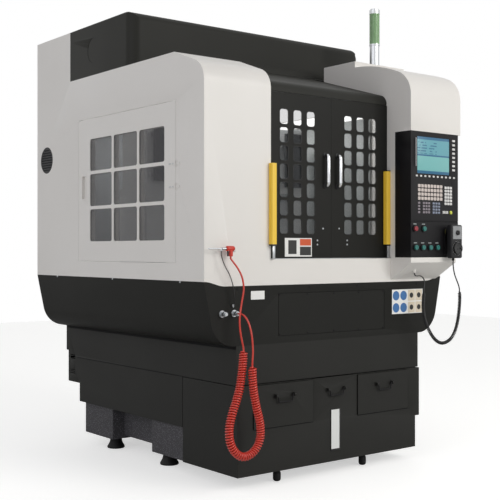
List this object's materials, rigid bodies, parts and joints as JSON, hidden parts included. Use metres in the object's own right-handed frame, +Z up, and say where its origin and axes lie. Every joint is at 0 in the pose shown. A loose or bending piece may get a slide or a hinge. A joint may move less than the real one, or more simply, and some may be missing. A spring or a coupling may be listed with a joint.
{
  "type": "cnc engraving machine",
  "caption": "Enclosed bridge-type engraving machine with sliding windowed doors, side door, console with pendant, signal lamp, coolant tank, chip drawers and air gun on a curly hose.",
  "frame": {"origin": "on the floor, under the centre of the whole machine's plan", "axes": "+X to the operator's right along the front, +Y from the front to the rear, +Z up"},
  "size_m": [1.4783, 1.751, 2.29],
  "materials": {
    "white_paint": "fine orange-peel, semi gloss",
    "charcoal_paint": "fine texture, satin",
    "control_black": "satin",
    "cast_paint": "speckled enamel",
    "foot_black": "matte",
    "steel": "brushed",
    "chrome": "polished",
    "zinc": "zinc plated",
    "alu": "satin anodised",
    "light_grey_paint": "semi gloss",
    "glass_grey": "clear",
    "screen_glass": "glossy",
    "key_cream": "matte membrane",
    "yellow": "powder coat",
    "lens_green": "ribbed",
    "gauge_white": "gloss",
    "grille_black": "matte",
    "gun_red": "gloss",
    "hose_red": "gloss polyurethane",
    "tube_black": "satin",
    "pendant_black": "matte",
    "knob_black": "matte",
    "button_red": "gloss",
    "button_teal": "gloss",
    "head_dark": "satin",
    "wire_black": "satin"
  },
  "bodies": {
    "enclosure": {"base_casting": "cast_paint", "feet": "foot_black", "coolant_tank": "charcoal_paint", "level_gauge": "gauge_white", "skirt": "charcoal_paint", "belt_panel": "charcoal_paint", "access_cover": "charcoal_paint", "left_side_panel": "white_paint", "right_side_panel": "white_paint", "front_panel": "white_paint", "rear_panel": "white_paint", "door_header": "charcoal_paint", "roof_cover": "charcoal_paint", "hood": "white_paint", "console_box": "control_black", "operator_panel": "control_black", "screen": "screen_glass", "keypads": "key_cream", "door_rails": "steel", "chip_pan": "light_grey_paint", "bridge": "light_grey_paint", "guide_rails": "steel", "signal_pole": "alu", "signal_lens": "lens_green", "light_curtains": "yellow", "vent_grille": "grille_black", "air_ports": "zinc", "air_gun": "gun_red", "hose_leads": "hose_red", "hose_coil": "hose_red", "mist_tube": "tube_black", "pendant_body": "pendant_black", "pendant_leads": "tube_black", "pendant_coil": "tube_black"},
    "left_door": {"left_door": "charcoal_paint", "left_door_pane": "glass_grey", "left_door_handle": "chrome"},
    "right_door": {"right_door": "charcoal_paint", "right_door_pane": "glass_grey", "right_door_handle": "chrome"},
    "side_door": {"side_door": "white_paint", "side_door_pane": "glass_grey"},
    "left_drawer": {"left_drawer": "charcoal_paint"},
    "right_drawer": {"right_drawer": "charcoal_paint"},
    "left_drawer_handle": {"left_drawer_handle": "wire_black"},
    "right_drawer_handle": {"right_drawer_handle": "wire_black"},
    "tank_handle": {"tank_handle": "wire_black"},
    "table": {"table": "cast_paint"},
    "carriage": {"carriage": "light_grey_paint"},
    "z_head": {"z_head": "head_dark"},
    "spindle": {"spindle_shaft": "steel"},
    "red_button": {"red_button": "button_red"},
    "handwheel": {"handwheel": "knob_black"},
    "selector_knob": {"selector_knob": "knob_black"},
    "gun_trigger": {"gun_trigger": "knob_black"},
    "teal_button_1": {"teal_button_1": "button_teal"},
    "teal_button_2": {"teal_button_2": "button_teal"},
    "teal_button_3": {"teal_button_3": "button_teal"},
    "teal_button_4": {"teal_button_4": "button_teal"},
    "teal_button_5": {"teal_button_5": "button_teal"}
  },
  "joints": [
    {"name": "left_door_slide", "type": "slide", "parent": "enclosure", "child": "left_door", "axis": [-1, 0, 0], "range_m": [0, 0.285]},
    {"name": "right_door_slide", "type": "slide", "parent": "enclosure", "child": "right_door", "axis": [1, 0, 0], "range_m": [0, 0.285]},
    {"name": "side_door_hinge", "type": "hinge", "parent": "enclosure", "child": "side_door", "pos_m": [-0.7393, -0.4675, 1.354], "axis": [0, 0, 1], "range_deg": [0, 110]},
    {"name": "left_drawer_slide", "type": "slide", "parent": "enclosure", "child": "left_drawer", "axis": [0, -1, 0], "range_m": [0, 0.32]},
    {"name": "right_drawer_slide", "type": "slide", "parent": "enclosure", "child": "right_drawer", "axis": [0, -1, 0], "range_m": [0, 0.32]},
    {"name": "left_drawer_handle_hinge", "type": "hinge", "parent": "left_drawer", "child": "left_drawer_handle", "pos_m": [-0.311, -0.7005, 0.392], "axis": [-1, 0, 0], "range_deg": [0, 90]},
    {"name": "right_drawer_handle_hinge", "type": "hinge", "parent": "right_drawer", "child": "right_drawer_handle", "pos_m": [0.311, -0.7005, 0.392], "axis": [-1, 0, 0], "range_deg": [0, 90]},
    {"name": "tank_handle_hinge", "type": "hinge", "parent": "enclosure", "child": "tank_handle", "pos_m": [0, -0.6965, 0.392], "axis": [-1, 0, 0], "range_deg": [0, 90]},
    {"name": "table_slide", "type": "slide", "parent": "enclosure", "child": "table", "axis": [0, 1, 0], "range_m": [-0.16, 0.16]},
    {"name": "carriage_slide", "type": "slide", "parent": "enclosure", "child": "carriage", "axis": [1, 0, 0], "range_m": [-0.2, 0.2]},
    {"name": "head_slide", "type": "slide", "parent": "carriage", "child": "z_head", "axis": [0, 0, 1], "range_m": [-0.14, 0]},
    {"name": "spindle_spin", "type": "hinge", "parent": "z_head", "child": "spindle", "pos_m": [0, -0.0365, 1.25], "axis": [0, 0, 1], "continuous": true},
    {"name": "red_button_push", "type": "slide", "parent": "enclosure", "child": "red_button", "axis": [0, 1, 0], "range_m": [0, 0.003], "stiffness_N_per_m": 800, "springref_m": -0.002},
    {"name": "teal_button_1_push", "type": "slide", "parent": "enclosure", "child": "teal_button_1", "axis": [0, 1, 0], "range_m": [0, 0.003], "stiffness_N_per_m": 800, "springref_m": -0.002},
    {"name": "teal_button_2_push", "type": "slide", "parent": "enclosure", "child": "teal_button_2", "axis": [0, 1, 0], "range_m": [0, 0.003], "stiffness_N_per_m": 800, "springref_m": -0.002},
    {"name": "teal_button_3_push", "type": "slide", "parent": "enclosure", "child": "teal_button_3", "axis": [0, 1, 0], "range_m": [0, 0.003], "stiffness_N_per_m": 800, "springref_m": -0.002},
    {"name": "teal_button_4_push", "type": "slide", "parent": "enclosure", "child": "teal_button_4", "axis": [0, 1, 0], "range_m": [0, 0.003], "stiffness_N_per_m": 800, "springref_m": -0.002},
    {"name": "teal_button_5_push", "type": "slide", "parent": "enclosure", "child": "teal_button_5", "axis": [0, 1, 0], "range_m": [0, 0.003], "stiffness_N_per_m": 800, "springref_m": -0.002},
    {"name": "handwheel_spin", "type": "hinge", "parent": "enclosure", "child": "handwheel", "pos_m": [0.645, -0.8665, 1.038], "axis": [0, -1, 0], "continuous": true},
    {"name": "selector_knob_turn", "type": "hinge", "parent": "enclosure", "child": "selector_knob", "pos_m": [0.645, -0.8665, 1.114], "axis": [0, -1, 0], "range_deg": [-60, 60]},
    {"name": "gun_trigger_pull", "type": "hinge", "parent": "enclosure", "child": "gun_trigger", "pos_m": [-0.633, -0.7065, 1.026], "axis": [0, -1, 0], "range_deg": [0, 8], "stiffness_Nm_per_rad": 0.05, "springref_deg": -17.19}
  ]
}
